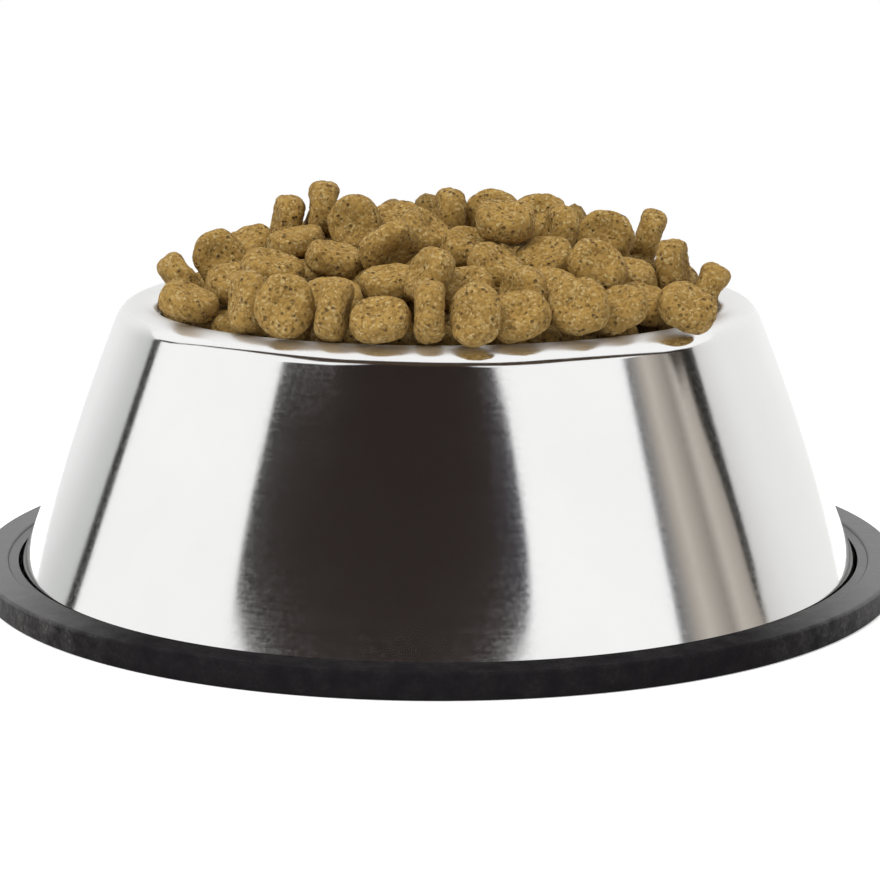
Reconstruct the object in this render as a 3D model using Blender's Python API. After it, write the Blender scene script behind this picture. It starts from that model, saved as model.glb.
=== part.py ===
"""Non-tip pet bowl of stainless sheet on a rubber ring, heaped with disc-shaped kibble.

Metres, +Z up. The origin is on the floor, on the bowl's axis, and the front faces -Y.
"""

import math

import bmesh
import bpy
import numpy as np
from mathutils import Matrix, Vector
from mathutils.bvhtree import BVHTree

# Clearance between pieces that seat on one another, and of loose kibble over the packed kibble
GAP = 0.0003
PACKED_GAP = 0.0005

# Points nearer than this are one point, and edges sharper than this stay sharp
MERGE_DISTANCE = 0.000001
SHARP_ANGLE = math.radians(40.0)
MILLIMETRE = 0.001

# Rubber ring: its width outside the groove, and how far it reaches in under the bowl's foot
RING_LIP = 0.0065
RING_SEAT = 0.0035
RING_HEIGHT = 0.0056
RING_EDGE = 0.0005
GROOVE_FLOOR = 0.0020
RING_SEGMENTS = 48

# Stainless bowl, pressed from one sheet, with a flange turned out at its foot
SHEET = 0.0008
FLANGE_WIDTH = 0.0022
BOWL_HEIGHT = 0.0616
SHOULDER_RADIUS = 0.0655
SHOULDER_BEND = 0.0057
SKIRT_ANGLE = math.radians(22.5)
WALL_ANGLE = math.radians(12.0)
BOWL_FLOOR = 0.0045
FLOOR_CORNER = 0.0160
BOWL_SEGMENTS = 48
SHOULDER_STEPS = 7
CORNER_STEPS = 4

# Kibble: a disc with rounded edges and dished faces
KIBBLE_RADIUS = 0.0062
KIBBLE_THICKNESS = 0.0064
KIBBLE_EDGE_ROUND = 0.0022
KIBBLE_DISH = 0.0006
KIBBLE_SEGMENTS = 10
FUSED_SEGMENTS = 8

# Heap: the dome on which the centres of the outermost kibble lie, set in from the shoulder's crest
# and up from it
HEAP_INSET = 0.0015
HEAP_LIFT = 0.0014
HEAP_RISE = 0.0185
HEAP_FULLNESS = 0.75

# Packed kibble underneath: how far its top lies below the dome, in front and at the back
FRONT_LAYER = 0.0075
BACK_LAYER = 0.0045
LAYER_CHANGE_FROM = -0.0040
LAYER_CHANGE_TO = 0.0160
FILL_SEGMENTS = 36
FILL_RINGS = 7

# Standpoint from which the kibble list was read, before the axis and above the rim, and the steps
# along each line of sight
EYE_DISTANCE = 0.5600
EYE_HEIGHT = 0.0834
SIGHT_STEPS = 800

# Kibble in front: where its middle is seen on an upright plane through the axis (mm to the right,
# mm above the rim), how far its face is turned from the eye, which way it turns (degrees,
# anticlockwise from the right) and how far it lies below the dome (mm)
FRONT_KIBBLE = (
    (-56.5, 4.4, 85, 213, 0),
    (-55.0, -3.6, 60, 65, 0),
    (-49.0, 8.9, 15, 180, 0),
    (-37.5, 5.9, 65, 80, 0),
    (-40.5, 14.9, 60, 110, 3),
    (-34.5, 15.9, 80, 165, 0),
    (-27.0, 19.4, 88, 173, 0),
    (-18.5, 16.9, 22, 180, 0),
    (-9.5, 18.9, 55, 98, 0),
    (2.0, 18.4, 74, 175, 0),
    (12.5, 18.9, 12, 90, 0),
    (15.0, 14.9, 55, 90, -2),
    (-2.0, 11.9, 60, 45, 4),
    (-10.0, 9.9, 50, -40, 0),
    (-22.5, 8.4, 75, 70, 2),
    (-22.0, 2.4, 50, 92, 0),
    (-45.0, 1.9, 60, 90, 3),
    (-42.0, -4.1, 70, 175, -3),
    (-31.0, -4.6, 12, 180, -5),
    (-22.0, -6.1, 80, 165, -5),
    (-13.5, -5.1, 50, 95, -5),
    (-2.0, -5.6, 70, 175, -5),
    (7.5, -5.6, 18, 180, -5),
    (16.5, -5.1, 50, 95, -5),
    (20.5, -2.6, 75, 170, 1),
    (39.5, -6.1, 45, 110, -5),
    (51.5, -4.6, 40, 80, -5),
    (59.5, 0.4, 85, 157, 0),
    (22.0, 18.4, 30, 90, 4),
    (27.0, 14.4, 72, 175, 0),
    (37.0, 14.4, 12, 90, 0),
    (46.5, 12.4, 88, 164, 0),
    (51.5, 5.4, 65, 10, 0),
    (14.0, 5.9, 60, 60, 3),
    (6.0, 4.4, 45, 95, 0),
    (-4.5, 3.4, 65, 150, 0),
    (-10.0, 2.4, 60, 90, 3),
    (22.0, 8.4, 40, 100, 2),
    (22.0, 1.9, 55, 90, 2),
    (31.0, -1.6, 18, 90, -5),
    (37.0, 3.4, 35, 45, 1),
    (44.5, 2.4, 60, 90, 4),
    (44.5, -1.6, 60, 90, 2),
    (-31.0, 10.9, 60, 90, 5),
    (7.5, 10.4, 50, 80, 3),
)

# Kibble between and behind these, fused to the packed kibble: how far the rows lie apart and the
# first one from the dome's edge, the spacing along a row, the leans (degrees from lying flat) and
# the compass turns that follow one another along the rows, the room left round a loose kibble, the
# lift over the packed kibble and how far each at least sinks into it
BACK_ROW_SPACING = 0.0114
BACK_ROW_INSET = 0.0050
BACK_PITCH = 0.0134
BACK_LEANS = (15, 60, 35, 85, 10, 50, 75, 25)
BACK_TURNS = (20, 250, 130, 340, 80, 200, 300)
BACK_SPACING = 0.0100
BACK_LIFT = 0.0010
BACK_SINK = 0.0005

# Settling of the heap: rounds, and shares of each overlap that a round undoes
SPHERES_ROUND = 10
PULL_ROUNDS = 160
FREE_ROUNDS = 1500
PULL = 0.03
PUSH = 0.7
TURN = 0.35
TURNING_RADIUS = 0.0050
SINK_RATE = 0.00003
SETTLE_MARGIN = 0.0003
SETTLE_TOLERANCE = 0.00002
SETTLE_SLACK = 0.0001
SUPPORT_SLOPE = 0.3


def clear_scene():
    """Remove the objects that a new Blender file starts with."""
    for thing in list(bpy.data.objects):
        bpy.data.objects.remove(thing, do_unlink=True)


def material(name, colour, roughness, metallic=0.0):
    """A plain Principled material."""
    made = bpy.data.materials.new(name)
    made.use_nodes = True
    shader = made.node_tree.nodes["Principled BSDF"]
    shader.inputs["Base Color"].default_value = (*colour, 1.0)
    shader.inputs["Roughness"].default_value = roughness
    shader.inputs["Metallic"].default_value = metallic
    made.diffuse_color = (*colour, 1.0)
    return made


def add_object(name, mesh_builder, surface):
    """Turn a bmesh into a named object with outward faces, smooth where it is round."""
    mesh = bpy.data.meshes.new(name)
    mesh_builder.to_mesh(mesh)
    mesh_builder.free()
    mesh.shade_smooth()
    mesh.set_sharp_from_angle(angle=SHARP_ANGLE)
    mesh.materials.append(surface)
    made = bpy.data.objects.new(name, mesh)
    bpy.context.collection.objects.link(made)
    return made


def faced_out(builder):
    """Make all faces point the same way, out of a solid or up out of an open sheet."""
    bmesh.ops.recalc_face_normals(builder, faces=builder.faces)
    if all(edge.is_manifold for edge in builder.edges):
        inward = builder.calc_volume(signed=True) < 0.0
    else:
        inward = sum(face.normal.z * face.calc_area() for face in builder.faces) < 0.0
    if inward:
        bmesh.ops.reverse_faces(builder, faces=builder.faces)
    return builder


def turned(profile, segments, closed):
    """Spin a profile of (radius, height) points about the Z axis."""
    builder = bmesh.new()
    points = [builder.verts.new((radius, 0.0, height)) for radius, height in profile]
    edges = [builder.edges.new(pair) for pair in zip(points, points[1:])]
    if closed:
        edges.append(builder.edges.new((points[-1], points[0])))
    bmesh.ops.spin(
        builder,
        geom=points + edges,
        cent=(0.0, 0.0, 0.0),
        axis=(0.0, 0.0, 1.0),
        angle=2.0 * math.pi,
        steps=segments,
        use_merge=True,
    )
    bmesh.ops.remove_doubles(builder, verts=builder.verts, dist=MERGE_DISTANCE)
    return faced_out(builder)


def arc(centre, radius, start, end, steps):
    """Points (radius, height) along an arc, with angles in radians from the outward level."""
    angles = [start + (end - start) * step / steps for step in range(steps + 1)]
    return [
        (centre[0] + radius * math.cos(angle), centre[1] + radius * math.sin(angle))
        for angle in angles
    ]


def shoulder_centre():
    """Middle of the shoulder's bend, in (radius, height)."""
    return SHOULDER_RADIUS, BOWL_HEIGHT - SHOULDER_BEND


def foot_profile():
    """Edge and root of the flange that the skirt runs down to, in (radius, height)."""
    radius, height = shoulder_centre()
    flange_top = GROOVE_FLOOR + GAP + SHEET
    skirt_top = height + SHOULDER_BEND * math.sin(SKIRT_ANGLE)
    root = radius + SHOULDER_BEND * math.cos(SKIRT_ANGLE)
    root += (skirt_top - flange_top) * math.tan(SKIRT_ANGLE)
    return [(root + FLANGE_WIDTH, flange_top), (root, flange_top)]


def inner_profile(inset):
    """Inside of the bowl from the shoulder's bend down to the axis, moved into the bowl by inset."""
    bend_radius, bend_height = shoulder_centre()
    wall_top = (
        bend_radius - (SHOULDER_BEND + inset) * math.cos(WALL_ANGLE),
        bend_height + (SHOULDER_BEND + inset) * math.sin(WALL_ANGLE),
    )
    corner = FLOOR_CORNER - inset
    corner_height = BOWL_FLOOR + FLOOR_CORNER
    meeting_height = corner_height - corner * math.sin(WALL_ANGLE)
    meeting_radius = wall_top[0] - (wall_top[1] - meeting_height) * math.tan(WALL_ANGLE)
    corner_radius = meeting_radius - corner * math.cos(WALL_ANGLE)
    rounded = arc((corner_radius, corner_height), corner, -WALL_ANGLE, -math.pi / 2, CORNER_STEPS)
    return [wall_top] + rounded + [(0.0, BOWL_FLOOR + inset)]


def make_bowl():
    """Pressed sheet: foot flange, flared skirt, round shoulder, inner wall and floor."""
    bend = shoulder_centre()
    shoulder = arc(bend, SHOULDER_BEND, SKIRT_ANGLE, math.pi - WALL_ANGLE, SHOULDER_STEPS)
    profile = foot_profile() + shoulder + inner_profile(0.0)[1:]
    builder = turned(profile, BOWL_SEGMENTS, closed=False)
    bowl = add_object("bowl", builder, material("bowl", (0.60, 0.60, 0.60), 0.22, 1.0))
    sheet = bowl.modifiers.new("sheet", "SOLIDIFY")
    sheet.thickness = SHEET
    sheet.offset = -1.0
    sheet.use_even_offset = True
    return bowl


def make_ring():
    """Moulded rubber ring with a groove that holds the bowl's foot flange."""
    flange_edge, flange_root = foot_profile()
    groove = flange_edge[0] + GAP
    outer = groove + RING_LIP
    inner = flange_root[0] - RING_SEAT
    profile = [
        (inner + RING_EDGE, 0.0),
        (outer - RING_EDGE, 0.0),
        (outer, RING_EDGE),
        (outer, RING_HEIGHT - RING_EDGE),
        (outer - RING_EDGE, RING_HEIGHT),
        (groove + RING_EDGE, RING_HEIGHT),
        (groove, RING_HEIGHT - RING_EDGE),
        (groove, GROOVE_FLOOR),
        (inner + RING_EDGE, GROOVE_FLOOR),
        (inner, GROOVE_FLOOR - RING_EDGE),
        (inner, RING_EDGE),
    ]
    builder = turned(profile, RING_SEGMENTS, closed=True)
    return add_object("rubber_ring", builder, material("rubber_ring", (0.03, 0.03, 0.03), 0.7))


def heap_radius():
    """Distance of the dome's edge from the axis."""
    return SHOULDER_RADIUS - HEAP_INSET


def heap_height(radius):
    """Height of the dome at a distance from the axis."""
    share = min(1.0, radius / heap_radius())
    return BOWL_HEIGHT + HEAP_LIFT + HEAP_RISE * (1.0 - share * share) ** HEAP_FULLNESS


def layer_depth(depth_back):
    """Depth of the loose layer, deep in front (-Y) and shallow at the back (+Y)."""
    share = (depth_back - LAYER_CHANGE_FROM) / (LAYER_CHANGE_TO - LAYER_CHANGE_FROM)
    share = min(1.0, max(0.0, share))
    return FRONT_LAYER + (BACK_LAYER - FRONT_LAYER) * share


def packed_height(across, back):
    """Height of the packed kibble under the loose layer."""
    return heap_height(math.hypot(across, back)) - layer_depth(back)


def eye():
    """Point from which the kibble list was read."""
    return Vector((0.0, -EYE_DISTANCE, BOWL_HEIGHT + EYE_HEIGHT))


def seen_place(across, up, sunk):
    """Point of the dome, or below it, that is seen at a place on the upright plane.

    Beside the dome it is the place itself, and None where that is beyond the bowl's mouth.
    """
    ray = Vector((across, 0.0, BOWL_HEIGHT + up)) - eye()
    beside = heap_radius() / EYE_DISTANCE
    for step in range(SIGHT_STEPS):
        point = eye() + ray * (1.0 - beside + 2.0 * beside * step / SIGHT_STEPS)
        radius = math.hypot(point.x, point.y)
        if radius <= heap_radius() and point.z <= heap_height(radius) - sunk:
            return point
    return eye() + ray if abs(across) < heap_radius() else None


def seen_axis(point, turned_away, direction):
    """Axis of a disc whose face is turned away from the eye in a direction of the picture."""
    toward = (eye() - point).normalized()
    right = Vector((0.0, 0.0, 1.0)).cross(toward).normalized()
    upward = toward.cross(right)
    sideways = right * math.cos(direction) + upward * math.sin(direction)
    return toward * math.cos(turned_away) + sideways * math.sin(turned_away)


def front_kibble():
    """Middles and axes of the kibble that was read from the front, as far as the dome holds it."""
    places = []
    axes = []
    for across, up, turned_away, direction, sunk in FRONT_KIBBLE:
        point = seen_place(across * MILLIMETRE, up * MILLIMETRE, sunk * MILLIMETRE)
        if point is not None:
            places.append(point)
            axes.append(seen_axis(point, math.radians(turned_away), math.radians(direction)))
    return places, axes


def back_kibble(taken):
    """Middles and axes of the kibble in the rows behind, where no other kibble lies."""
    places = []
    axes = []
    radius = heap_radius() - BACK_ROW_INSET
    while radius > 0.0:
        count = max(1, round(2.0 * math.pi * radius / BACK_PITCH))
        for number in range(count):
            bearing = 2.0 * math.pi * number / count
            point = Vector((radius * math.cos(bearing), radius * math.sin(bearing), 0.0))
            if any((point - other).xy.length < BACK_SPACING for other in taken):
                continue
            point.z = packed_height(point.x, point.y) + BACK_LIFT
            turn = math.radians(BACK_TURNS[len(places) % len(BACK_TURNS)])
            lean = math.radians(BACK_LEANS[len(places) % len(BACK_LEANS)])
            sideways = Vector((math.cos(turn), math.sin(turn), 0.0))
            places.append(point)
            axes.append(Vector((0.0, 0.0, math.cos(lean))) + sideways * math.sin(lean))
        radius -= BACK_ROW_SPACING
    return places, axes


def sphere_middles(places, axes, reach):
    """Middles of the spheres that stand for each disc: a ring of them and one at its centre."""
    spare = np.eye(3)[np.abs(axes).argmin(axis=1)]
    first = np.cross(axes, spare)
    first /= np.linalg.norm(first, axis=1, keepdims=True)
    second = np.cross(axes, first)
    angles = [2.0 * math.pi * step / SPHERES_ROUND for step in range(SPHERES_ROUND)]
    rim = [places + reach * (math.cos(angle) * first + math.sin(angle) * second) for angle in angles]
    return np.stack([places] + rim, axis=1)


def deepest(depths, *columns):
    """For each row, the largest depth and the entries of the columns that go with it."""
    best = depths.argmax(axis=1)
    rows = np.arange(len(depths))
    return [depths[rows, best]] + [column[rows, best] for column in columns]


def neighbour_contacts(at, spheres, size):
    """Pairs of discs that are near each other, with their deepest contact's depth and way."""
    near = np.linalg.norm(spheres[0, 0] - spheres[0, 1]) + size
    first, second = np.triu_indices(len(at), k=1)
    close = np.linalg.norm(at[first] - at[second], axis=1) < 2.0 * near + GAP
    left, right = first[close], second[close]
    apart = spheres[left][:, :, None, :] - spheres[right][:, None, :, :]
    distance = np.linalg.norm(apart, axis=-1)
    depths = (2.0 * size + GAP - distance).reshape(len(left), -1)
    ways = (apart / distance[..., None]).reshape(len(left), -1, 3)
    own = np.repeat(spheres[left], spheres.shape[1], axis=1)
    other = np.tile(spheres[right], (1, spheres.shape[1], 1))
    return left, right, *deepest(depths, ways, own, other)


def rim_contacts(spheres, size):
    """How deep each sphere lies in the bowl's shoulder and inner wall, and the way out."""
    radius, height = shoulder_centre()
    across = np.linalg.norm(spheres[..., :2], axis=-1)
    outward = spheres[..., :2] / across[..., None]
    beside = across - radius
    above = np.maximum(spheres[..., 2] - height, 0.0)
    distance = np.sqrt(beside**2 + above**2)
    depth = SHOULDER_BEND + size + GAP - distance
    level = outward * (beside / distance)[..., None]
    return depth, np.concatenate([level, (above / distance)[..., None]], axis=-1)


def packed_contacts(spheres, size):
    """How deep each sphere lies in the packed kibble; the way out is straight up."""
    flat = spheres.reshape(-1, 3)
    heights = np.array([packed_height(x, y) for x, y in flat[:, :2]])
    depth = heights.reshape(spheres.shape[:-1]) + size + PACKED_GAP - spheres[..., 2]
    return depth, np.broadcast_to([0.0, 0.0, 1.0], spheres.shape)


def upward(way, depth):
    """Depths of the contacts that carry a disc from below, and -1 where they don't."""
    return np.where(way[:, 2] > SUPPORT_SLOPE, depth, -1.0)


def settle(places, axes, loose):
    """Part the discs until none overlaps another, and rest the loose ones.

    The bowl stops all discs and the packed kibble the loose ones. The first rounds pull each disc
    to its place. After them a loose disc that nothing carries sinks.
    """
    wanted = np.array([list(place) for place in places])
    faces = np.array([list(axis) for axis in axes])
    at = wanted.copy()
    facing = faces.copy()
    size = (KIBBLE_THICKNESS + SETTLE_MARGIN) / 2.0
    reach = KIBBLE_RADIUS + SETTLE_MARGIN / 2.0 - size
    everything = np.full(len(at), True)
    for number in range(PULL_ROUNDS + FREE_ROUNDS):
        pulled = number < PULL_ROUNDS
        if pulled:
            at += PULL * (wanted - at)
            at[:, 2] -= SINK_RATE
            facing += PULL * (faces - facing)
            facing /= np.linalg.norm(facing, axis=1, keepdims=True)
        spheres = sphere_middles(at, facing, reach)
        moves = np.zeros_like(at)
        turns = np.zeros_like(at)
        support = np.full(len(at), -1.0)
        left, right, depth, way, own, other = neighbour_contacts(at, spheres, size)
        push = np.maximum(depth, 0.0)[:, None] * way / 2.0
        np.add.at(moves, left, push)
        np.add.at(moves, right, -push)
        np.add.at(turns, left, np.cross(own - at[left], push))
        np.add.at(turns, right, np.cross(other - at[right], -push))
        np.maximum.at(support, left, upward(way, depth))
        np.maximum.at(support, right, upward(-way, depth))
        worst = depth.max()
        for contacts, stopped in ((rim_contacts, everything), (packed_contacts, loose)):
            depths, ways = contacts(spheres, size)
            depth, way, touch = deepest(depths, ways, spheres)
            depth = np.where(stopped, depth, 0.0)
            push = np.maximum(depth, 0.0)[:, None] * way
            moves += push
            turns += np.cross(touch - at, push)
            support = np.maximum(support, upward(way, depth))
            worst = max(worst, depth.max())
        hanging = loose & (support < -SETTLE_SLACK)
        if not pulled and worst < SETTLE_TOLERANCE and not hanging.any():
            break
        at[hanging, 2] -= SINK_RATE
        at += PUSH * moves
        facing += np.cross(TURN * turns / TURNING_RADIUS**2, facing)
        facing /= np.linalg.norm(facing, axis=1, keepdims=True)
    return [Vector(place) for place in at], [Vector(axis) for axis in facing]


def kibble_builder(place, axis, segments):
    """One disc-shaped kibble at its place, with its faces along the axis."""
    half = KIBBLE_THICKNESS / 2.0
    flat = KIBBLE_RADIUS - KIBBLE_EDGE_ROUND
    profile = [
        (0.0, half - KIBBLE_DISH),
        (flat, half),
        (KIBBLE_RADIUS, half - KIBBLE_EDGE_ROUND),
        (KIBBLE_RADIUS, KIBBLE_EDGE_ROUND - half),
        (flat, -half),
        (0.0, KIBBLE_DISH - half),
    ]
    builder = turned(profile, segments, closed=False)
    turn = Vector((0.0, 0.0, 1.0)).rotation_difference(axis).to_matrix().to_4x4()
    builder.transform(Matrix.Translation(place) @ turn)
    return builder


def round_row(builder, radius, heights):
    """Points around the axis at one radius, each at its own height."""
    return [
        builder.verts.new((radius * math.cos(bearing), radius * math.sin(bearing), height))
        for bearing, height in heights
    ]


def bridge(builder, lower, upper):
    """Faces between two rows of points around the axis."""
    pairs = list(zip(lower, upper))
    for (low, high), (next_low, next_high) in zip(pairs, pairs[1:] + pairs[:1]):
        builder.faces.new((low, next_low, next_high, high))


def sinks_in(builder, packed):
    """Whether a kibble reaches far enough into the packed kibble to be fused to it."""
    for point in builder.verts:
        surface, outward = packed.find_nearest(point.co)[:2]
        if (point.co - surface).dot(outward) < -BACK_SINK:
            return True
    return False


def make_fill(places, axes, surface):
    """Packed kibble inside the bowl, with the kibble of the rows behind fused to it."""
    inside = inner_profile(GAP)
    bearings = [2.0 * math.pi * number / FILL_SEGMENTS for number in range(FILL_SEGMENTS)]
    builder = bmesh.new()
    rows = [
        round_row(builder, radius, [(bearing, height) for bearing in bearings])
        for radius, height in reversed(inside[:-1])
    ]
    for number in range(1, FILL_RINGS):
        radius = inside[0][0] * (1.0 - number / FILL_RINGS)
        heights = [
            (bearing, packed_height(radius * math.cos(bearing), radius * math.sin(bearing)))
            for bearing in bearings
        ]
        rows.append(round_row(builder, radius, heights))
    for lower, upper in zip(rows, rows[1:]):
        bridge(builder, lower, upper)
    for row, height in ((rows[0], inside[-1][1]), (rows[-1], packed_height(0.0, 0.0))):
        middle = builder.verts.new((0.0, 0.0, height))
        for point, after in zip(row, row[1:] + row[:1]):
            builder.faces.new((middle, point, after))
    packed = BVHTree.FromBMesh(faced_out(builder))
    fill = add_object("kibble_fill", builder, surface)
    for number, (place, axis) in enumerate(zip(places, axes)):
        builder = kibble_builder(place, axis, FUSED_SEGMENTS)
        if not sinks_in(builder, packed):
            builder.free()
            continue
        lump = add_object(f"fused_kibble_{number + 1:02d}", builder, surface)
        lump.hide_render = True
        lump.display_type = "WIRE"
        join = fill.modifiers.new(lump.name, "BOOLEAN")
        join.operation = "UNION"
        join.solver = "EXACT"
        join.object = lump
    return fill


def build():
    """Make every piece of the bowl."""
    clear_scene()
    make_ring()
    make_bowl()
    kibble_surface = material("kibble", (0.38, 0.26, 0.11), 0.85)
    front_places, front_axes = front_kibble()
    back_places, back_axes = back_kibble(front_places)
    loose = np.arange(len(front_places) + len(back_places)) < len(front_places)
    places, axes = settle(front_places + back_places, front_axes + back_axes, loose)
    for number in range(len(front_places)):
        builder = kibble_builder(places[number], axes[number], KIBBLE_SEGMENTS)
        add_object(f"kibble_{number + 1:02d}", builder, kibble_surface)
    make_fill(places[len(front_places):], axes[len(front_places):], kibble_surface)


build()
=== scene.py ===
"""Looks of a stainless non-tip pet bowl on a rubber ring, heaped with disc-shaped kibble.

Metres, +Z up. The bowl's axis is the Z axis, the floor is at zero and the front faces -Y.
"""

import math
import random

import bmesh
import bpy
import numpy as np
from mathutils import Matrix, Vector
from mathutils.bvhtree import BVHTree


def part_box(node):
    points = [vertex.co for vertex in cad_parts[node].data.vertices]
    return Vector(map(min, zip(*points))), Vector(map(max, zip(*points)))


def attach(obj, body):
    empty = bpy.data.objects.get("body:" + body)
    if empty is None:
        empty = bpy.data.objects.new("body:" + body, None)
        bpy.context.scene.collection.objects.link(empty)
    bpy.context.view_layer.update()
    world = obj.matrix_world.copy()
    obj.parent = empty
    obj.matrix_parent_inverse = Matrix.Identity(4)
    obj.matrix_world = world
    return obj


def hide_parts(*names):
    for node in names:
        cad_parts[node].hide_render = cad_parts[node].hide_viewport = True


bl_info = {
    "name": "Filled Pet Bowl",
    "version": (1, 0, 0),
    "blender": (4, 5, 0),
    "location": "3D View > Sidebar > Pet Bowl",
    "description": "A stainless pet bowl on a rubber ring, heaped with kibble, on a white stage",
    "category": "Add Mesh",
}

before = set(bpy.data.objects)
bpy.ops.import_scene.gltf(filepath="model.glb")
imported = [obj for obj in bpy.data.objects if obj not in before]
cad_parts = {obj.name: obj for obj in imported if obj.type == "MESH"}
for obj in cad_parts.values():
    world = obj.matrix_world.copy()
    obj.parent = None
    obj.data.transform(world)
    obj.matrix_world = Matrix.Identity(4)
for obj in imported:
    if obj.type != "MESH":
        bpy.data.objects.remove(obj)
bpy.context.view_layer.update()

# Clearance between pieces, and the distance under which points are merged
GAP = 0.0003
MERGE_DISTANCE = 0.000005

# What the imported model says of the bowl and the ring
BOWL_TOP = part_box("bowl")[1].z
FLANGE_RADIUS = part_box("bowl")[1].x
RING_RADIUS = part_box("rubber_ring")[1].x
RING_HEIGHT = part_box("rubber_ring")[1].z
CREST_RADIUS = max(
    point.co.xy.length
    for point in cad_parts["bowl"].data.vertices
    if point.co.z > BOWL_TOP - MERGE_DISTANCE
)
LOOSE_NODES = sorted(
    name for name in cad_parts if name.startswith("kibble_") and name != "kibble_fill"
)

# Seed of every random draw
SEED = 7

# Depth below the crest to which the steel is worn dull, and how much rougher it is at the crest
WORN_DEPTH = 0.0020
WORN_ROUGHNESS = 0.45

# Steps around the axis and along the bends
TURNED_SEGMENTS = 256
BEND_STEPS = 20
EDGE_STEPS = 5

# Edges that turn more sharply than this stay sharp in the shading
BOWL_SHARP_ANGLE = math.radians(35.0)
RING_SHARP_ANGLE = math.radians(50.0)

# Ring's bead, in radii of its round edge: height of the ring's top above the bead's underside, and height
# at which the bead meets the groove's wall
BEAD_RADII = 6.0
BEAD_ROOT = 2.2

# Camera at the photograph's place, for a frame of 880 by 880
CAMERA_PLACE = (0.0, -0.5605, 0.1449)
CAMERA_TILT = math.radians(78.32)
CAMERA_LENS = 104.1
CAMERA_SENSOR = 36.0
CAMERA_SHIFT = 0.0022

# One kibble: share of the radius at which the waist ends, pinch of the sides as a share of that of the
# faces, shares of the dish's depth that the two rings and the middle make, and size of lumps and grains
WAIST_REACH = 0.9
WAIST_SIDE_SHARE = 0.35
DISH_RING_SHARES = (0.55, 0.35)
DISH_MIDDLE_SHARE = 0.10
LUMP_SIZE = 0.0042
GRAIN_SIZE = 0.0011

# Loose kibble: sides, steps of the round rim, depth of lumps and grain, spin to either side in radians,
# and least and greatest scale
LOOSE_SIDES = 28
LOOSE_STEPS = 4
LOOSE_LUMPS = 0.0010
LOOSE_GRAIN = 0.00045
LOOSE_SPIN = 0.35
LOOSE_SCALES = (0.96, 1.03)

# Bed kibble: the same without the spin, and its painted shade, as a share of the loose kibble's colour
BED_SIDES = 22
BED_STEPS = 3
BED_LUMPS = 0.0009
BED_GRAIN = 0.0004
BED_SCALES = (0.94, 1.03)
BED_PAINTED_SHADE = 0.72

# Packed core under the bed: steps around and inward, places at which the fill's height is read around
# a point, and its painted shade, dark as in the gaps' shadow, as a share of the loose kibble's colour
CORE_SEGMENTS = 120
CORE_RINGS = 28
CORE_PROBES = 8
CORE_PAINTED_SHADE = 0.18

# Rows of the bed from the wall to the middle: radius of the first, step and pitch, depth in the fill,
# greatest lean in radians, and clearance from the loose kibble's middles
BED_FIRST_ROW = 0.0525
BED_ROW_STEP = 0.0088
BED_PITCH = 0.0104
BED_SINK = 0.0026
BED_LEAN = 1.3
BED_CLEARANCE = 0.0084

# Row of the bed that lies along the rim: radius, pitch, depth below the crest, greatest lean in radians,
# clearance as above, and how deep a kibble may stand in the steel before it is moved in
RIM_ROW_RADIUS = 0.0594
RIM_ROW_PITCH = 0.0088
RIM_ROW_SINK = 0.0010
RIM_ROW_LEAN = 0.30
RIM_ROW_CLEARANCE = 0.0058
RIM_ROW_SPARE = 0.0012

# Stage: steps around the floor, and place and width of the two lamps
FLOOR_SEGMENTS = 96
KEY_LAMP_PLACE = (-0.45, -0.55, 0.85)
KEY_LAMP_WIDTH = 0.35
TOP_LAMP_PLACE = (0.25, 0.05, 0.95)
TOP_LAMP_WIDTH = 0.45

# Mirrored studio: the walls stand on a cylinder around the bowl, and the bars and the beam just before it
CARD_DISTANCE = 0.90
BAR_DISTANCE = 0.99 * CARD_DISTANCE


class BowlSettings(bpy.types.PropertyGroup):
    """Sizes and finish of the stainless bowl."""

    sheet: bpy.props.FloatProperty(
        name="Sheet", description="Thickness of the steel sheet", default=0.0008, unit="LENGTH"
    )
    shoulder_bend: bpy.props.FloatProperty(
        name="Shoulder bend", description="Radius of the round shoulder", default=0.0057, unit="LENGTH"
    )
    skirt_angle: bpy.props.FloatProperty(
        name="Skirt angle",
        description="How far the skirt leans out from upright",
        default=math.radians(22.5),
        subtype="ANGLE",
    )
    wall_angle: bpy.props.FloatProperty(
        name="Wall angle",
        description="How far the inner wall leans in from upright",
        default=math.radians(12.0),
        subtype="ANGLE",
    )
    floor_height: bpy.props.FloatProperty(
        name="Floor height", description="Height of the bowl's inner floor", default=0.0045, unit="LENGTH"
    )
    floor_corner: bpy.props.FloatProperty(
        name="Floor corner", description="Radius of the corner at the floor", default=0.0160, unit="LENGTH"
    )
    flange_width: bpy.props.FloatProperty(
        name="Flange width", description="Width of the flange at the foot", default=0.0022, unit="LENGTH"
    )
    foot_bend: bpy.props.FloatProperty(
        name="Foot bend", description="Radius between skirt and flange", default=0.0007, unit="LENGTH"
    )
    steel_colour: bpy.props.FloatVectorProperty(
        name="Steel",
        description="Colour of the polished steel",
        size=3,
        default=(0.90, 0.90, 0.895),
        subtype="COLOR",
    )
    steel_roughness: bpy.props.FloatProperty(
        name="Steel roughness", description="Blur of the steel's reflections", default=0.06, min=0.0, max=1.0
    )


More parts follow.
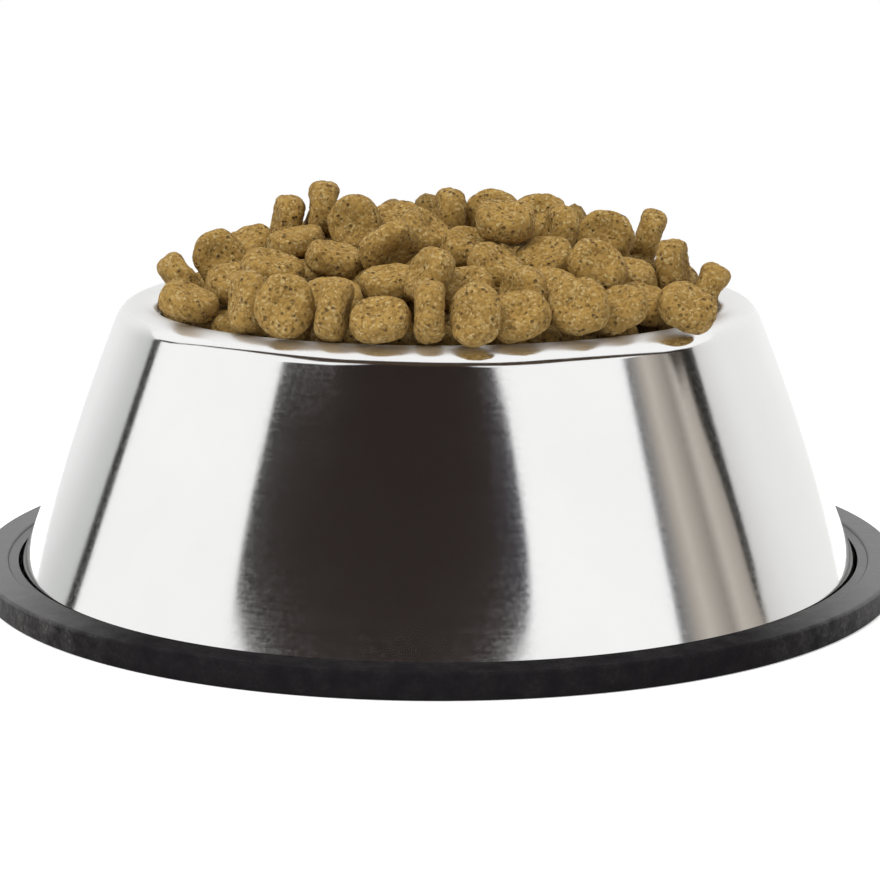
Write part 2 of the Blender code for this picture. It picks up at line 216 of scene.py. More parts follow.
class RingSettings(bpy.types.PropertyGroup):
    """Sizes and finish of the rubber ring."""

    seat_width: bpy.props.FloatProperty(
        name="Seat", description="How far the ring reaches in under the foot", default=0.0035, unit="LENGTH"
    )
    groove_floor: bpy.props.FloatProperty(
        name="Groove floor", description="Height of the groove's floor", default=0.0020, unit="LENGTH"
    )
    edge_round: bpy.props.FloatProperty(
        name="Edge rounding", description="Radius of the ring's edges", default=0.0007, unit="LENGTH"
    )
    bead_width: bpy.props.FloatProperty(
        name="Bead", description="Width of the bead that holds the flange down", default=0.0020, unit="LENGTH"
    )
    rubber_colour: bpy.props.FloatVectorProperty(
        name="Rubber",
        description="Colour of the black rubber",
        size=3,
        default=(0.010, 0.009, 0.010),
        subtype="COLOR",
    )
    dust_colour: bpy.props.FloatVectorProperty(
        name="Bloom",
        description="Colour of the dull grey bloom on the rubber",
        size=3,
        default=(0.100, 0.096, 0.094),
        subtype="COLOR",
    )


class KibbleSettings(bpy.types.PropertyGroup):
    """Sizes and colours of the kibble."""

    radius: bpy.props.FloatProperty(
        name="Radius", description="Radius of one kibble", default=0.0065, unit="LENGTH"
    )
    thickness: bpy.props.FloatProperty(
        name="Thickness", description="Thickness at the fat rim", default=0.0077, unit="LENGTH"
    )
    edge_round: bpy.props.FloatProperty(
        name="Edge rounding", description="Radius of the rim's edges", default=0.0032, unit="LENGTH"
    )
    dish: bpy.props.FloatProperty(
        name="Dish", description="Depth of the hollow in each face", default=0.0006, unit="LENGTH"
    )
    waist: bpy.props.FloatProperty(
        name="Waist", description="Share by which the middle is pinched", default=0.24, min=0.0, max=0.5
    )
    crust_colour: bpy.props.FloatVectorProperty(
        name="Crust",
        description="Main tan of the baked crumb",
        size=3,
        default=(0.332, 0.205, 0.058),
        subtype="COLOR",
    )
    pale_colour: bpy.props.FloatVectorProperty(
        name="Pale crumb",
        description="Colour of the pale grains",
        size=3,
        default=(0.465, 0.337, 0.142),
        subtype="COLOR",
    )
    pit_colour: bpy.props.FloatVectorProperty(
        name="Pits",
        description="Colour in the small dark pits",
        size=3,
        default=(0.140, 0.082, 0.030),
        subtype="COLOR",
    )


class StageSettings(bpy.types.PropertyGroup):
    """Floor and light of the stage."""

    floor_radius: bpy.props.FloatProperty(
        name="Floor", description="Radius of the white floor", default=0.42, unit="LENGTH"
    )
    ambient: bpy.props.FloatProperty(
        name="Ambient", description="Strength of the white surroundings on the object", default=0.68, min=0.0
    )
    key_power: bpy.props.FloatProperty(
        name="Key lamp", description="Power of the large lamp in front", default=6.0, min=0.0, unit="POWER"
    )
    fill_power: bpy.props.FloatProperty(
        name="Top lamp", description="Power of the large lamp overhead", default=2.6, min=0.0, unit="POWER"
    )


def deselect_all():
    """Leave edit mode and select nothing."""
    if bpy.context.object and bpy.context.object.mode != "OBJECT":
        bpy.ops.object.mode_set(mode="OBJECT")
    bpy.ops.object.select_all(action="DESELECT")


def only(piece):
    """Select one piece and make it the active one."""
    deselect_all()
    piece.select_set(True)
    bpy.context.view_layer.objects.active = piece


def apply_modifiers(piece):
    """Apply every modifier of a piece in order."""
    only(piece)
    for modifier in list(piece.modifiers):
        bpy.ops.object.modifier_apply(modifier=modifier.name)


def smooth(piece, angle):
    """Shade a piece smooth, with edges sharper than the angle kept."""
    only(piece)
    bpy.ops.object.shade_smooth_by_angle(angle=angle)


def true_to_large_faces(piece):
    """Let the large faces set the shading, so that long straight sides mirror straight."""
    weigh = piece.modifiers.new("weigh", "WEIGHTED_NORMAL")
    weigh.mode = "FACE_AREA"
    weigh.weight = 100
    weigh.keep_sharp = True
    apply_modifiers(piece)


def face_outward():
    """Turn every face of the edited piece outward and leave edit mode."""
    bpy.ops.mesh.select_all(action="SELECT")
    bpy.ops.mesh.normals_make_consistent(inside=False)
    bpy.ops.object.mode_set(mode="OBJECT")


def new_object(name, data):
    """Object that holds the data, linked to the scene."""
    made = bpy.data.objects.new(name, data)
    bpy.context.collection.objects.link(made)
    return made


def finish_piece(piece, slot, *nodes):
    """Tie a finished piece to the frame, in the place of its nodes."""
    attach(piece, "root")
    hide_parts(*nodes)


def arc(centre, radius, start, end, steps):
    """Points (radius, height) along an arc, with angles in radians from the outward level."""
    angles = [start + (end - start) * step / steps for step in range(steps + 1)]
    return [
        (centre[0] + radius * math.cos(angle), centre[1] + radius * math.sin(angle))
        for angle in angles
    ]


def turned(name, profile, segments):
    """Turn a profile of (radius, height) points about the axis, by extruding and scaling a circle."""
    deselect_all()
    bpy.ops.mesh.primitive_circle_add(
        vertices=segments, radius=profile[0][0], location=(0.0, 0.0, profile[0][1])
    )
    piece = bpy.context.object
    piece.name = name
    bpy.ops.object.transform_apply(location=True, rotation=False, scale=False)
    bpy.ops.object.mode_set(mode="EDIT")
    bpy.ops.mesh.select_all(action="SELECT")
    for (radius, height), (next_radius, next_height) in zip(profile, profile[1:]):
        rise = next_height - height
        spread = next_radius / radius
        bpy.ops.mesh.extrude_region_move(TRANSFORM_OT_translate={"value": (0.0, 0.0, rise)})
        bpy.ops.transform.resize(value=(spread, spread, 1.0), center_override=(0.0, 0.0, 0.0))
    return piece


def close_middle():
    """Draw the last extruded circle together to one point on the axis."""
    bpy.ops.mesh.merge(type="CENTER")
    face_outward()


def link(tree, start, end):
    """Join an output socket to an input socket."""
    tree.links.new(start, end)


def node(tree, kind, **settings):
    """Add a node and set its properties."""
    made = tree.nodes.new(kind)
    for name, value in settings.items():
        setattr(made, name, value)
    return made


def mix_colours(tree, factor, low, high):
    """Mix two colours, each a socket or a plain colour, by a mask."""
    made = node(tree, "ShaderNodeMix", data_type="RGBA")
    link(tree, factor, made.inputs["Factor"])
    for socket, colour in ((made.inputs[6], low), (made.inputs[7], high)):
        if isinstance(colour, bpy.types.NodeSocket):
            link(tree, colour, socket)
        else:
            socket.default_value = (*colour, 1.0)
    return made.outputs[2]


def calculate(tree, operation, first, second):
    """Math node on two values, each a socket or a number."""
    made = node(tree, "ShaderNodeMath", operation=operation)
    for socket, value in zip(made.inputs, (first, second)):
        if isinstance(value, bpy.types.NodeSocket):
            link(tree, value, socket)
        else:
            socket.default_value = value
    return made.outputs[0]


def part_of(tree, vector, axis):
    """One coordinate of a vector."""
    parts = node(tree, "ShaderNodeSeparateXYZ")
    link(tree, vector, parts.inputs["Vector"])
    return parts.outputs[axis]


def soft_step(tree, value, low, high):
    """Value that rises softly from 0 at low to 1 at high."""
    made = node(tree, "ShaderNodeMapRange", interpolation_type="SMOOTHSTEP")
    link(tree, value, made.inputs["Value"])
    made.inputs["From Min"].default_value = low
    made.inputs["From Max"].default_value = high
    return made.outputs["Result"]


def seen_by(tree, *rays):
    """Value that is 1 for the named kinds of ray and 0 for all others."""
    paths = node(tree, "ShaderNodeLightPath")
    seen = paths.outputs[rays[0]]
    for ray in rays[1:]:
        seen = calculate(tree, "MAXIMUM", seen, paths.outputs[ray])
    return seen


def start_group(name, sockets):
    """New shader node group with float inputs besides its vector, and one mask as its output."""
    group = bpy.data.node_groups.new(name, "ShaderNodeTree")
    group.interface.new_socket("Vector", in_out="INPUT", socket_type="NodeSocketVector")
    for socket, value in sockets:
        made = group.interface.new_socket(socket, in_out="INPUT", socket_type="NodeSocketFloat")
        made.default_value = value
    group.interface.new_socket("Mask", in_out="OUTPUT", socket_type="NodeSocketFloat")
    return group, node(group, "NodeGroupInput"), node(group, "NodeGroupOutput")


def lay_texture(group, start, kind, **settings):
    """Texture on the group's vector, scaled so that its features have the group's size."""
    texture = node(group, kind, **settings)
    link(group, start.outputs["Vector"], texture.inputs["Vector"])
    link(group, calculate(group, "DIVIDE", 1.0, start.outputs["Size"]), texture.inputs["Scale"])
    return texture


def finish_group(group, value, start, end):
    """Stretch a value from between the group's From and To to between 0 and 1, as its mask."""
    stretch = node(group, "ShaderNodeMapRange", clamp=True)
    link(group, value, stretch.inputs["Value"])
    link(group, start.outputs["From"], stretch.inputs["From Min"])
    link(group, start.outputs["To"], stretch.inputs["From Max"])
    link(group, stretch.outputs["Result"], end.inputs["Mask"])
    return group


def grain_group():
    """Soft grains of one size, as a mask; from and to set how much of the surface they take."""
    if "grain" in bpy.data.node_groups:
        return bpy.data.node_groups["grain"]
    group, start, end = start_group("grain", (("Size", 0.001), ("From", 0.35), ("To", 0.65)))
    noise = lay_texture(group, start, "ShaderNodeTexNoise", noise_dimensions="3D")
    noise.inputs["Detail"].default_value = 4.0
    noise.inputs["Roughness"].default_value = 0.6
    return finish_group(group, noise.outputs["Fac"], start, end)


def pits_group():
    """Small round pits scattered over a surface, as a mask that is 1 in their middles."""
    if "pits" in bpy.data.node_groups:
        return bpy.data.node_groups["pits"]
    group, start, end = start_group("pits", (("Size", 0.001), ("From", 0.30), ("To", 0.12)))
    cells = lay_texture(group, start, "ShaderNodeTexVoronoi", voronoi_dimensions="3D", feature="F1")
    return finish_group(group, cells.outputs["Distance"], start, end)


def crumbs_group():
    """Crumbs of one size, as a mask in which each has a shade of its own."""
    if "crumbs" in bpy.data.node_groups:
        return bpy.data.node_groups["crumbs"]
    group, start, end = start_group("crumbs", (("Size", 0.001), ("From", 0.20), ("To", 0.80)))
    cells = lay_texture(group, start, "ShaderNodeTexVoronoi", voronoi_dimensions="3D", feature="F1")
    return finish_group(group, part_of(group, cells.outputs["Color"], "X"), start, end)


def mask(tree, group, vector, size, low, high):
    """Place a mask group in a material with its own values."""
    made = node(tree, "ShaderNodeGroup", node_tree=group)
    link(tree, vector, made.inputs["Vector"])
    made.inputs["Size"].default_value = size
    made.inputs["From"].default_value = low
    made.inputs["To"].default_value = high
    return made.outputs["Mask"]


def start_material(name):
    """New node material with its tree, its shader and the Object coordinates."""
    made = bpy.data.materials.new(name)
    made.use_nodes = True
    tree = made.node_tree
    place = node(tree, "ShaderNodeTexCoord").outputs["Object"]
    return made, tree, tree.nodes["Principled BSDF"], place


def add_bump(tree, shader, height, distance):
    """Drive the shader's normal from a height."""
    bump = node(tree, "ShaderNodeBump")
    bump.inputs["Distance"].default_value = distance
    link(tree, height, bump.inputs["Height"])
    link(tree, bump.outputs["Normal"], shader.inputs["Normal"])


def steel_material(settings):
    """Polished stainless with a satin grain, faint waves, turning lines and a crest that is worn dull."""
    made, tree, shader, place = start_material("polished_steel")
    shader.inputs["Metallic"].default_value = 1.0
    satin = mask(tree, grain_group(), place, 0.0009, 0.30, 0.70)
    patches = mask(tree, grain_group(), place, 0.030, 0.35, 0.65)
    lines = node(tree, "ShaderNodeMapping")
    lines.inputs["Scale"].default_value = (0.02, 0.02, 1.0)
    link(tree, place, lines.inputs["Vector"])
    turning = mask(tree, grain_group(), lines.outputs["Vector"], 0.0006, 0.30, 0.70)
    shade = mix_colours(
        tree, patches, tuple(part * 0.97 for part in settings.steel_colour), settings.steel_colour[:]
    )
    link(tree, shade, shader.inputs["Base Color"])
    blur = calculate(tree, "MULTIPLY", satin, 0.04)
    blur = calculate(tree, "ADD", blur, calculate(tree, "MULTIPLY", turning, 0.02))
    worn = soft_step(tree, part_of(tree, place, "Z"), BOWL_TOP - WORN_DEPTH, BOWL_TOP)
    blur = calculate(tree, "ADD", blur, calculate(tree, "MULTIPLY", worn, WORN_ROUGHNESS))
    link(tree, calculate(tree, "ADD", blur, settings.steel_roughness), shader.inputs["Roughness"])
    height = calculate(tree, "MULTIPLY", satin, 0.06)
    height = calculate(tree, "ADD", height, calculate(tree, "MULTIPLY", turning, 0.005))
    height = calculate(tree, "ADD", height, calculate(tree, "MULTIPLY", patches, 0.9))
    add_bump(tree, shader, height, 0.000005)
    return made


def rubber_material(settings):
    """Matte black rubber with a mottled grey bloom, a fine moulded grain and a painted sheen that makes the
    sides greyer and glossier than the front.
    """
    made, tree, shader, place = start_material("black_rubber")
    bloom = mask(tree, grain_group(), place, 0.0045, 0.36, 0.70)
    specks = mask(tree, grain_group(), place, 0.0008, 0.45, 0.75)
    grain = mask(tree, grain_group(), place, 0.0005, 0.30, 0.70)
    # Painted sheen: the ring is made greyer and glossier at its left and right than at its front and back
    across = calculate(tree, "ABSOLUTE", part_of(tree, place, "X"), 0.0)
    painted_sheen_at_sides = soft_step(tree, across, 0.55 * RING_RADIUS, 0.95 * RING_RADIUS)
    # Grey bloom: real mottled dust, made stronger at the sides by the painted sheen
    dust_and_painted_sheen = calculate(tree, "MULTIPLY", bloom, calculate(tree, "ADD", 0.45, specks))
    dust_and_painted_sheen = calculate(tree, "MULTIPLY", dust_and_painted_sheen, calculate(tree, "ADD", 0.10, painted_sheen_at_sides))
    shade = mix_colours(tree, dust_and_painted_sheen, settings.rubber_colour[:], settings.dust_colour[:])
    link(tree, shade, shader.inputs["Base Color"])
    normal = node(tree, "ShaderNodeNewGeometry").outputs["Normal"]
    upward = calculate(tree, "MAXIMUM", part_of(tree, normal, "Z"), 0.0)
    dull = calculate(tree, "SUBTRACT", 0.70, calculate(tree, "MULTIPLY", painted_sheen_at_sides, 0.40))
    dull = calculate(tree, "ADD", dull, calculate(tree, "MULTIPLY", dust_and_painted_sheen, 0.25))
    link(tree, dull, shader.inputs["Roughness"])
    # Painted sheen: more reflection at the sides, only on faces that look up
    painted_side_sheen = calculate(tree, "MULTIPLY", painted_sheen_at_sides, 0.95)
    sheen = calculate(tree, "ADD", painted_side_sheen, calculate(tree, "MULTIPLY", dust_and_painted_sheen, 0.5))
    sheen = calculate(tree, "MULTIPLY", upward, sheen)
    link(tree, calculate(tree, "ADD", 0.02, sheen), shader.inputs["Specular IOR Level"])
    add_bump(tree, shader, calculate(tree, "ADD", grain, bloom), 0.00006)
    return made


def kibble_material(name, settings, shade):
    """Baked crumb: tan crust with pale grains, dark pits and a rough surface, times a painted shade for
    kibble lying deeper in the heap.
    """
    made, tree, shader, place = start_material(name)
    blotches = mask(tree, grain_group(), place, 0.0075, 0.36, 0.64)
    crumbs = mask(tree, crumbs_group(), place, 0.00060, 0.05, 0.70)
    grains = mask(tree, crumbs_group(), place, 0.00050, 0.72, 1.0)
    pits = mask(tree, pits_group(), place, 0.0013, 0.34, 0.16)
    seldom = mask(tree, grain_group(), place, 0.0021, 0.46, 0.60)
    holes = calculate(tree, "MULTIPLY", pits, seldom)
    # Painted shade: crust, pale grains and pits are darkened by the shade, for kibble deeper in the heap
    crust = tuple(part * shade for part in settings.crust_colour)
    pale = tuple(part * shade for part in settings.pale_colour)
    warm = (crust[0] * 1.09, crust[1] * 1.08, crust[2] * 1.04)
    dark = (crust[0] * 0.66, crust[1] * 0.62, crust[2] * 0.56)
    colour = mix_colours(tree, blotches, crust, warm)
    colour = mix_colours(tree, crumbs, dark, colour)
    colour = mix_colours(tree, grains, colour, pale)
    colour = mix_colours(tree, holes, colour, tuple(part * shade for part in settings.pit_colour))
    link(tree, colour, shader.inputs["Base Color"])
    rough = calculate(tree, "SUBTRACT", 0.95, calculate(tree, "MULTIPLY", grains, 0.12))
    link(tree, rough, shader.inputs["Roughness"])
    shader.inputs["Specular IOR Level"].default_value = 0.25
    height = calculate(tree, "ADD", crumbs, calculate(tree, "MULTIPLY", grains, 0.5))
    height = calculate(tree, "SUBTRACT", height, calculate(tree, "MULTIPLY", holes, 1.6))
    add_bump(tree, shader, height, 0.00035)
    return made


def inner_profile(settings, inset):
    """Inside of the bowl from the shoulder down to the floor, moved into the bowl by inset."""
    bend = settings.shoulder_bend
    lean = settings.wall_angle
    wall_top = (
        CREST_RADIUS - (bend + inset) * math.cos(lean),
        BOWL_TOP - bend + (bend + inset) * math.sin(lean),
    )
    corner = settings.floor_corner - inset
    corner_height = settings.floor_height + settings.floor_corner
    meeting_height = corner_height - corner * math.sin(lean)
    meeting_radius = wall_top[0] - (wall_top[1] - meeting_height) * math.tan(lean)
    centre = (meeting_radius - corner * math.cos(lean), corner_height)
    return [wall_top] + arc(centre, corner, -lean, -math.pi / 2.0, BEND_STEPS)


def inside_line(bowl):
    """Radii and heights of the bowl's inside, a gap clear of it, from the floor up to the crest."""
    centre = (CREST_RADIUS, BOWL_TOP - bowl.shoulder_bend)
    crest = arc(
        centre, bowl.shoulder_bend + GAP, math.pi / 2.0, math.pi - bowl.wall_angle, BEND_STEPS
    )
    line = np.array(crest + inner_profile(bowl, GAP)[1:])[::-1]
    return line[:, 0], line[:, 1]


def points_of(piece):
    """Vertices of a piece as rows of three numbers."""
    places = np.empty(3 * len(piece.data.vertices))
    piece.data.vertices.foreach_get("co", places)
    return places.reshape(-1, 3)


def keep_inside(piece, bowl):
    """Press whatever of a piece would stand in the steel off the crest or back from the wall."""
    radii, heights = inside_line(bowl)
    places = points_of(piece)
    places[:, 2] = np.maximum(places[:, 2], heights[0])
    lengths = np.maximum(np.hypot(places[:, 0], places[:, 1]), MERGE_DISTANCE)
    bend_height = BOWL_TOP - bowl.shoulder_bend
    reach = bowl.shoulder_bend + GAP
    # Above the middle of the shoulder's bend, straight away from the bend
    outward = lengths - CREST_RADIUS
    upward = places[:, 2] - bend_height
    from_bend = np.maximum(np.hypot(outward, upward), MERGE_DISTANCE)
    push = np.where(upward > 0.0, np.maximum(1.0, reach / from_bend), 1.0)
    places[:, 2] += upward * (push - 1.0)
    # Below it, towards the axis
    wall_top = bend_height + reach * math.sin(bowl.wall_angle)
    by_wall = (places[:, 2] > heights[0]) & (places[:, 2] < wall_top)
    limits = np.where(by_wall, np.interp(places[:, 2], heights, radii), np.inf)
    places[:, :2] *= (np.minimum(CREST_RADIUS + outward * push, limits) / lengths)[:, None]
    piece.data.vertices.foreach_set("co", places.ravel())
    piece.data.update()


def tuck_in(piece, bowl, spare):
    """Move a whole kibble towards the axis until no more than the spare is left in the steel."""
    radii, heights = inside_line(bowl)
    places = points_of(piece)
    over = np.hypot(places[:, 0], places[:, 1]) - np.interp(places[:, 2], heights, radii)
    if over.max() > spare:
        middle = places.mean(axis=0)
        inward = Vector((-middle[0], -middle[1], 0.0)).normalized()
        piece.data.transform(Matrix.Translation(inward * (over.max() - spare)))


def foot_profile(bowl):
    """Flange edge, flange and the small bend up into the skirt, in (radius, height)."""
    skirt_top = BOWL_TOP - bowl.shoulder_bend * (1.0 - math.sin(bowl.skirt_angle))
    root = FLANGE_RADIUS - bowl.flange_width
    run = root - (CREST_RADIUS + bowl.shoulder_bend * math.cos(bowl.skirt_angle))
    flange_top = skirt_top - run / math.tan(bowl.skirt_angle)
    reach = bowl.foot_bend * math.tan((math.pi / 2.0 - bowl.skirt_angle) / 2.0)
    bend = arc(
        (root + reach, flange_top + bowl.foot_bend),
        bowl.foot_bend,
        -math.pi / 2.0,
        -math.pi + bowl.skirt_angle,
        EDGE_STEPS,
    )
    return [(FLANGE_RADIUS, flange_top)] + bend


class PETBOWL_OT_steel_bowl(bpy.types.Operator):
    """Press the stainless bowl: flange, skirt, round shoulder, inner wall and floor"""

    bl_idname = "petbowl.steel_bowl"
    bl_label = "Steel Bowl"

    def execute(self, context):
        """Turn the bowl's visible side and give the sheet its thickness."""
        settings = context.scene.petbowl_bowl
        shoulder = arc(
            (CREST_RADIUS, BOWL_TOP - settings.shoulder_bend),
            settings.shoulder_bend,
            settings.skirt_angle,
            math.pi - settings.wall_angle,
            2 * BEND_STEPS,
        )
        profile = foot_profile(settings) + shoulder + inner_profile(settings, 0.0)[1:]
        bowl = turned("steel_bowl", profile, TURNED_SEGMENTS)
        close_middle()
        sheet = bowl.modifiers.new("sheet", "SOLIDIFY")
        sheet.thickness = settings.sheet
        sheet.offset = -1.0
        sheet.use_even_offset = True
        apply_modifiers(bowl)
        smooth(bowl, BOWL_SHARP_ANGLE)
        true_to_large_faces(bowl)
        bowl.data.materials.append(steel_material(settings))
        finish_piece(bowl, "steel", "bowl")
        return {"FINISHED"}


class PETBOWL_OT_rubber_ring(bpy.types.Operator):
    """Mould the rubber ring with its groove and the bead that holds the flange down"""

    bl_idname = "petbowl.rubber_ring"
    bl_label = "Rubber Ring"

    def execute(self, context):
        """Turn the ring's closed section."""
        bowl = context.scene.petbowl_bowl
        settings = context.scene.petbowl_ring
        edge = settings.edge_round
        inner = FLANGE_RADIUS - bowl.flange_width - settings.seat_width
        groove = FLANGE_RADIUS + GAP
        flange_top = foot_profile(bowl)[0][1]
        bead = (groove - settings.bead_width, flange_top + 2.0 * GAP)
        bead_round = (RING_HEIGHT - bead[1]) / BEAD_RADII
        quarter = math.pi / 2.0
        profile = [(inner + edge, 0.0)]
        profile += arc((RING_RADIUS - edge, edge), edge, -quarter, 0.0, EDGE_STEPS)
        profile += arc((RING_RADIUS - edge, RING_HEIGHT - edge), edge, 0.0, quarter, EDGE_STEPS)
        profile += arc((groove + edge, RING_HEIGHT - edge), edge, quarter, math.pi, EDGE_STEPS)
        profile += [(groove, bead[1] + BEAD_ROOT * bead_round)]
        bead_centre = (bead[0], bead[1] + bead_round)
        profile += arc(bead_centre, bead_round, quarter, 3.0 * quarter, EDGE_STEPS)
        profile += [(groove, bead[1]), (groove, settings.groove_floor)]
        profile += [(inner + edge, settings.groove_floor), (inner, settings.groove_floor - edge)]
        profile += [(inner, edge), profile[0]]
        ring = turned("rubber_base_ring", profile, TURNED_SEGMENTS)
        bpy.ops.mesh.select_all(action="SELECT")
        bpy.ops.mesh.remove_doubles(threshold=MERGE_DISTANCE)
        face_outward()
        smooth(ring, RING_SHARP_ANGLE)
        true_to_large_faces(ring)
        ring.data.materials.append(rubber_material(settings))
        finish_piece(ring, "rubber", "rubber_ring")
        return {"FINISHED"}


def select_faces(piece, corners):
    """Select the faces of the edited piece that have so many corners, and nothing else."""
    bpy.ops.mesh.select_all(action="DESELECT")
    builder = bmesh.from_edit_mesh(piece.data)
    for face in builder.faces:
        if len(face.verts) == corners:
            face.select = True
    bmesh.update_edit_mesh(piece.data)


def model_kibble(settings, around, steps):
    """One kibble at the origin with its faces up and down: fat round rim and dished, pinched faces."""
    deselect_all()
    bpy.ops.mesh.primitive_cylinder_add(
        vertices=around, radius=settings.radius, depth=settings.thickness, end_fill_type="NGON"
    )
    kibble = bpy.context.object
    bpy.ops.object.mode_set(mode="EDIT")
    select_faces(kibble, around)
    bpy.ops.mesh.bevel(offset=settings.edge_round, segments=steps, affect="EDGES")
    select_faces(kibble, around)
    ring = (settings.radius - settings.edge_round) / 3.0
    for share in DISH_RING_SHARES:
        bpy.ops.mesh.inset(thickness=ring, depth=-settings.dish * share)
    bpy.ops.mesh.poke(offset=-settings.dish * DISH_MIDDLE_SHARE)
    bpy.ops.object.mode_set(mode="OBJECT")
    for point in kibble.data.vertices:
        across = min(1.0, abs(point.co.x) / (WAIST_REACH * settings.radius))
        point.co.z *= 1.0 - settings.waist * (1.0 - across**2)
        point.co.y *= 1.0 - WAIST_SIDE_SHARE * settings.waist * (1.0 - across**2)
    return kibble


def kibble_turn(axis, groove, spin):
    """Turn that lays a kibble's face along an axis, with its waist along a direction and a spin."""
    axis = axis.normalized()
    along = (groove - axis * groove.dot(axis)).normalized()
    across = along.cross(axis)
    turn = Matrix((across, along, axis)).transposed()
    return (turn @ Matrix.Rotation(spin, 3, "Z")).to_4x4()


def crumble(piece, lumps, grain):
    """Roughen a piece: broad uneven lumps, then a coarse grain."""
    for name, size, strength in (("lumps", LUMP_SIZE, lumps), ("grain", GRAIN_SIZE, grain)):
        texture = bpy.data.textures.get(name) or bpy.data.textures.new(name, "CLOUDS")
        texture.noise_scale = size
        texture.noise_depth = 2
        rough = piece.modifiers.new(name, "DISPLACE")
        rough.texture = texture
        rough.texture_coords = "LOCAL"
        rough.strength = strength
        rough.mid_level = 0.55
    apply_modifiers(piece)


def copy_of(model, name, place, turn, size):
    """Copy a model with its own mesh, put at its place in the mesh."""
    mesh = model.data.copy()
    mesh.name = name
    mesh.transform(Matrix.Translation(place) @ turn @ Matrix.Diagonal((*size, 1.0)))
    return new_object(name, mesh)


def disc_of(name):
    """Middle and axis of a disc-shaped node."""
    points = np.array([point.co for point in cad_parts[name].data.vertices])
    middle = points.mean(axis=0)
    spread = np.linalg.eigh(np.cov((points - middle).T))
    return Vector(middle), Vector(spread[1][:, 0])


class PETBOWL_OT_loose_kibble(bpy.types.Operator):
    """Lay a detailed kibble in the place of each loose one"""

    bl_idname = "petbowl.loose_kibble"
    bl_label = "Loose Kibble"

    def execute(self, context):
        """Copy one model to every disc of the frame, each a little different."""
        settings = context.scene.petbowl_kibble
        model = model_kibble(settings, LOOSE_SIDES, LOOSE_STEPS)
        model.data.materials.append(kibble_material("kibble_crust", settings, 1.0))
        rounder = model.modifiers.new("rounder", "SUBSURF")
        rounder.levels = 1
        rounder.render_levels = 1
        apply_modifiers(model)
        chance = random.Random(SEED)
        view = Vector(CAMERA_PLACE)
        for name in LOOSE_NODES:
            middle, axis = disc_of(name)
            spin = chance.uniform(-LOOSE_SPIN, LOOSE_SPIN)
            turn = kibble_turn(axis, view - middle, spin)
            size = [chance.uniform(*LOOSE_SCALES) for _ in range(3)]
            kibble = copy_of(model, f"loose_{name}", middle, turn, size)
            crumble(kibble, LOOSE_LUMPS, LOOSE_GRAIN)
            keep_inside(kibble, context.scene.petbowl_bowl)
            smooth(kibble, math.pi)
            finish_piece(kibble, "kibble", name)
        bpy.data.objects.remove(model)
        return {"FINISHED"}


def level(bearing):
    """Level direction at a bearing in radians."""
    return Vector((math.cos(bearing), math.sin(bearing), 0.0))


def height_of(surface, place):
    """Height of a surface under a place."""
    return surface.ray_cast(Vector((place.x, place.y, 1.0)), Vector((0.0, 0.0, -1.0)))[0].z


def lowest_around(surface, place, reach):
    """Lowest height of a surface around a place that lies well inside its edge."""
    around = [place]
    for number in range(CORE_PROBES):
        around.append(place + level(2.0 * math.pi * number / CORE_PROBES) * reach)
    return min(height_of(surface, spot * (1.0 - reach / CREST_RADIUS)) for spot in around)


def rim_places(loose, chance):
    """Places of the kibble that lies along the rim, clear of the loose kibble's middles."""
    count = round(2.0 * math.pi * RIM_ROW_RADIUS / RIM_ROW_PITCH)
    places = []
    for number in range(count):
        bearing = 2.0 * math.pi * (number + chance.uniform(-0.2, 0.2)) / count
        place = level(bearing) * RIM_ROW_RADIUS
        place.z = BOWL_TOP - RIM_ROW_SINK * chance.uniform(0.5, 1.5)
        if all((place - other).length > RIM_ROW_CLEARANCE for other in loose):
            places.append(place)
    return places


def bed_places(surface, loose, chance):
    """Places of the bed's kibble, row by row, clear of the loose kibble's middles."""
    places = []
    radius = BED_FIRST_ROW
    while radius > 0.0:
        count = max(1, round(2.0 * math.pi * radius / BED_PITCH))
        start = chance.uniform(0.0, 2.0 * math.pi)
        for number in range(count):
            place = level(start + 2.0 * math.pi * number / count) * radius
            place.z = height_of(surface, place) - BED_SINK
            if all((place - other).length > BED_CLEARANCE for other in loose):
                places.append(place)
        radius -= BED_ROW_STEP
    return places


